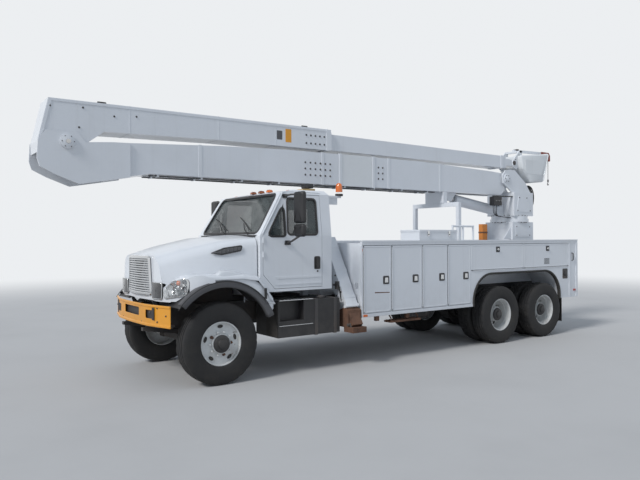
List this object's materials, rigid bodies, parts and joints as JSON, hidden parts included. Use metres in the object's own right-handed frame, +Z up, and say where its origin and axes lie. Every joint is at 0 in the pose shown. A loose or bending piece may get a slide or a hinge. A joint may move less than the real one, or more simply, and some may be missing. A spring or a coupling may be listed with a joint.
{
  "type": "bucket truck",
  "caption": "Three-axle utility truck with side lockers and a two-boom insulated aerial bucket on a rear turret, stowed for the road.",
  "frame": {"origin": "on the road under the middle of the whole truck", "axes": "+Z up, +Y to the truck's rear, +X to its left side"},
  "size_m": [2.86, 10.962, 3.8698],
  "materials": {
    "white_paint": "gloss enamel, weathered",
    "chassis_black": "dusty black paint",
    "bumper_yellow": "orange-yellow paint",
    "cast_iron": "oily casting",
    "wheel_white": "white wheel paint",
    "tyre": "tread and sidewall",
    "rubber": "flap rubber",
    "clear_glass": "tinted safety glass",
    "trim_grey": "moulded cab trim",
    "black_plastic": "black moulding",
    "chrome_trim": "bright grille trim",
    "lamp_amber": "lamp lenses",
    "white_fibreglass": "gelcoat",
    "piston_steel": "plated rod",
    "rusty_steel": "rusted leg"
  },
  "bodies": {
    "root": {"frame": "chassis_black", "running_gear": "chassis_black", "driveline": "cast_iron", "bumper": "bumper_yellow", "cab_shell": "white_paint", "cab_glass": "clear_glass", "cab_interior": "trim_grey", "tanks": "black_plastic", "body_left": "white_paint", "body_right": "white_paint", "deck": "white_paint", "pedestal": "white_paint", "boom_rest": "white_paint", "outrigger_housings": "white_paint", "lamps": "lamp_amber", "mudflaps": "rubber"},
    "hood": {"hood": "white_paint", "nose_trim": "chrome_trim"},
    "turret": {"turret": "white_paint"},
    "lift_barrel": {"lift_barrel": "white_paint"},
    "lift_rod": {"lift_rod": "piston_steel"},
    "lower_boom": {"lower_boom": "white_paint"},
    "elbow": {"elbow_link": "white_paint"},
    "upper_boom": {"upper_boom": "white_paint"},
    "bucket": {"bucket": "white_fibreglass", "bucket_mount": "white_paint"},
    "steer_left": {"knuckle_left": "chassis_black"},
    "wheel_front_left": {"rim_front_left": "wheel_white", "tyre_front_left": "tyre"},
    "wheel_rear_1_left": {"rim_rear_1_left": "wheel_white", "tyre_rear_1_left": "tyre"},
    "wheel_rear_2_left": {"rim_rear_2_left": "wheel_white", "tyre_rear_2_left": "tyre"},
    "door_left": {"door_left": "white_paint", "door_glass_left": "clear_glass", "mirror_left": "black_plastic"},
    "outrigger_left": {"outrigger_leg_left": "rusty_steel"},
    "locker_left_1": {"locker_door_left_1": "white_paint"},
    "locker_left_2": {"locker_door_left_2": "white_paint"},
    "locker_left_3": {"locker_door_left_3": "white_paint"},
    "locker_left_4": {"locker_door_left_4": "white_paint"},
    "locker_left_5": {"locker_door_left_5": "white_paint"},
    "locker_left_6": {"locker_door_left_6": "white_paint"},
    "steer_right": {"knuckle_right": "chassis_black"},
    "wheel_front_right": {"rim_front_right": "wheel_white", "tyre_front_right": "tyre"},
    "wheel_rear_1_right": {"rim_rear_1_right": "wheel_white", "tyre_rear_1_right": "tyre"},
    "wheel_rear_2_right": {"rim_rear_2_right": "wheel_white", "tyre_rear_2_right": "tyre"},
    "door_right": {"door_right": "white_paint", "door_glass_right": "clear_glass", "mirror_right": "black_plastic"},
    "outrigger_right": {"outrigger_leg_right": "rusty_steel"},
    "locker_right_1": {"locker_door_right_1": "white_paint"},
    "locker_right_2": {"locker_door_right_2": "white_paint"},
    "locker_right_3": {"locker_door_right_3": "white_paint"},
    "locker_right_4": {"locker_door_right_4": "white_paint"},
    "locker_right_5": {"locker_door_right_5": "white_paint"},
    "locker_right_6": {"locker_door_right_6": "white_paint"}
  },
  "joints": [
    {"name": "steer_left", "type": "hinge", "parent": "root", "child": "steer_left", "pos_m": [0.8, -3.4, 0.544], "axis": [0, 0, 1], "range_deg": [-35, 35]},
    {"name": "spin_front_left", "type": "hinge", "parent": "steer_left", "child": "wheel_front_left", "pos_m": [1.01, -3.4, 0.544], "axis": [1, 0, 0], "continuous": true},
    {"name": "spin_rear_1_left", "type": "hinge", "parent": "root", "child": "wheel_rear_1_left", "pos_m": [0.945, 2.188, 0.522], "axis": [1, 0, 0], "continuous": true},
    {"name": "spin_rear_2_left", "type": "hinge", "parent": "root", "child": "wheel_rear_2_left", "pos_m": [0.945, 3.503, 0.522], "axis": [1, 0, 0], "continuous": true},
    {"name": "door_left", "type": "hinge", "parent": "root", "child": "door_left", "pos_m": [1.01, -2.694, 1.7], "axis": [0, 0, -1], "range_deg": [0, 65]},
    {"name": "outrigger_left", "type": "slide", "parent": "root", "child": "outrigger_left", "axis": [0.4849, 0, -0.8745], "range_m": [0, 0.5]},
    {"name": "locker_left_1", "type": "hinge", "parent": "root", "child": "locker_left_1", "pos_m": [1.226, -1.0575, 1.29], "axis": [0, 0, -1], "range_deg": [0, 90]},
    {"name": "locker_left_2", "type": "hinge", "parent": "root", "child": "locker_left_2", "pos_m": [1.226, -0.4775, 1.29], "axis": [0, 0, -1], "range_deg": [0, 90]},
    {"name": "locker_left_3", "type": "hinge", "parent": "root", "child": "locker_left_3", "pos_m": [1.226, 0.1985, 1.29], "axis": [0, 0, -1], "range_deg": [0, 90]},
    {"name": "locker_left_4", "type": "hinge", "parent": "root", "child": "locker_left_4", "pos_m": [1.226, 0.7995, 1.29], "axis": [0, 0, -1], "range_deg": [0, 90]},
    {"name": "locker_left_5", "type": "hinge", "parent": "root", "child": "locker_left_5", "pos_m": [1.226, 2.126, 1.345], "axis": [0, 1, 0], "range_deg": [0, 90]},
    {"name": "locker_left_6", "type": "hinge", "parent": "root", "child": "locker_left_6", "pos_m": [1.226, 3.6045, 1.345], "axis": [0, 1, 0], "range_deg": [0, 90]},
    {"name": "steer_right", "type": "hinge", "parent": "root", "child": "steer_right", "pos_m": [-0.8, -3.4, 0.544], "axis": [0, 0, 1], "range_deg": [-35, 35]},
    {"name": "spin_front_right", "type": "hinge", "parent": "steer_right", "child": "wheel_front_right", "pos_m": [-1.01, -3.4, 0.544], "axis": [1, 0, 0], "continuous": true},
    {"name": "spin_rear_1_right", "type": "hinge", "parent": "root", "child": "wheel_rear_1_right", "pos_m": [-0.945, 2.188, 0.522], "axis": [1, 0, 0], "continuous": true},
    {"name": "spin_rear_2_right", "type": "hinge", "parent": "root", "child": "wheel_rear_2_right", "pos_m": [-0.945, 3.503, 0.522], "axis": [1, 0, 0], "continuous": true},
    {"name": "door_right", "type": "hinge", "parent": "root", "child": "door_right", "pos_m": [-1.01, -2.694, 1.7], "axis": [0, 0, 1], "range_deg": [0, 65]},
    {"name": "outrigger_right", "type": "slide", "parent": "root", "child": "outrigger_right", "axis": [-0.4849, 0, -0.8745], "range_m": [0, 0.5]},
    {"name": "locker_right_1", "type": "hinge", "parent": "root", "child": "locker_right_1", "pos_m": [-1.226, -1.0575, 1.29], "axis": [0, 0, 1], "range_deg": [0, 90]},
    {"name": "locker_right_2", "type": "hinge", "parent": "root", "child": "locker_right_2", "pos_m": [-1.226, -0.4775, 1.29], "axis": [0, 0, 1], "range_deg": [0, 90]},
    {"name": "locker_right_3", "type": "hinge", "parent": "root", "child": "locker_right_3", "pos_m": [-1.226, 0.1985, 1.29], "axis": [0, 0, 1], "range_deg": [0, 90]},
    {"name": "locker_right_4", "type": "hinge", "parent": "root", "child": "locker_right_4", "pos_m": [-1.226, 0.7995, 1.29], "axis": [0, 0, 1], "range_deg": [0, 90]},
    {"name": "locker_right_5", "type": "hinge", "parent": "root", "child": "locker_right_5", "pos_m": [-1.226, 2.126, 1.345], "axis": [0, -1, 0], "range_deg": [0, 90]},
    {"name": "locker_right_6", "type": "hinge", "parent": "root", "child": "locker_right_6", "pos_m": [-1.226, 3.6045, 1.345], "axis": [0, -1, 0], "range_deg": [0, 90]},
    {"name": "hood", "type": "hinge", "parent": "root", "child": "hood", "pos_m": [0, -4.05, 1.085], "axis": [1, 0, 0], "range_deg": [0, 60]},
    {"name": "slew", "type": "hinge", "parent": "root", "child": "turret", "pos_m": [0, 4.05, 2.33], "axis": [0, 0, 1], "continuous": true},
    {"name": "lower_lift", "type": "hinge", "parent": "turret", "child": "lower_boom", "pos_m": [0, 3.6, 3.16], "axis": [-1, 0, 0], "range_deg": [0, 80]},
    {"name": "elbow_level", "type": "hinge", "parent": "lower_boom", "child": "elbow", "pos_m": [0, -5.1, 3.16], "axis": [1, 0, 0], "range_deg": [0, 80]},
    {"name": "upper_lift", "type": "hinge", "parent": "elbow", "child": "upper_boom", "pos_m": [0, -5.1, 3.16], "axis": [1, 0, 0], "range_deg": [0, 120]},
    {"name": "bucket_tip", "type": "hinge", "parent": "upper_boom", "child": "bucket", "pos_m": [0, 3.97, 3.52], "axis": [1, 0, 0], "range_deg": [0, 90]},
    {"name": "lift_barrel", "type": "hinge", "parent": "turret", "child": "lift_barrel", "pos_m": [0, 3.6, 2.5], "axis": [-1, 0, 0], "range_deg": [0, 65.2]},
    {"name": "lift_rod", "type": "slide", "parent": "lift_barrel", "child": "lift_rod", "axis": [0, -0.9894, 0.1451], "range_m": [0, 0.728]}
  ],
  "couplings": [
    {"joint": "steer_right", "follows": "steer_left", "ratio": 1},
    {"joint": "elbow_level", "follows": "lower_lift", "ratio": 1},
    {"joint": "lift_barrel", "follows": "lower_lift", "ratio": 0.802},
    {"joint": "lift_rod", "follows": "lower_lift", "m_per_rad": 0.514}
  ]
}
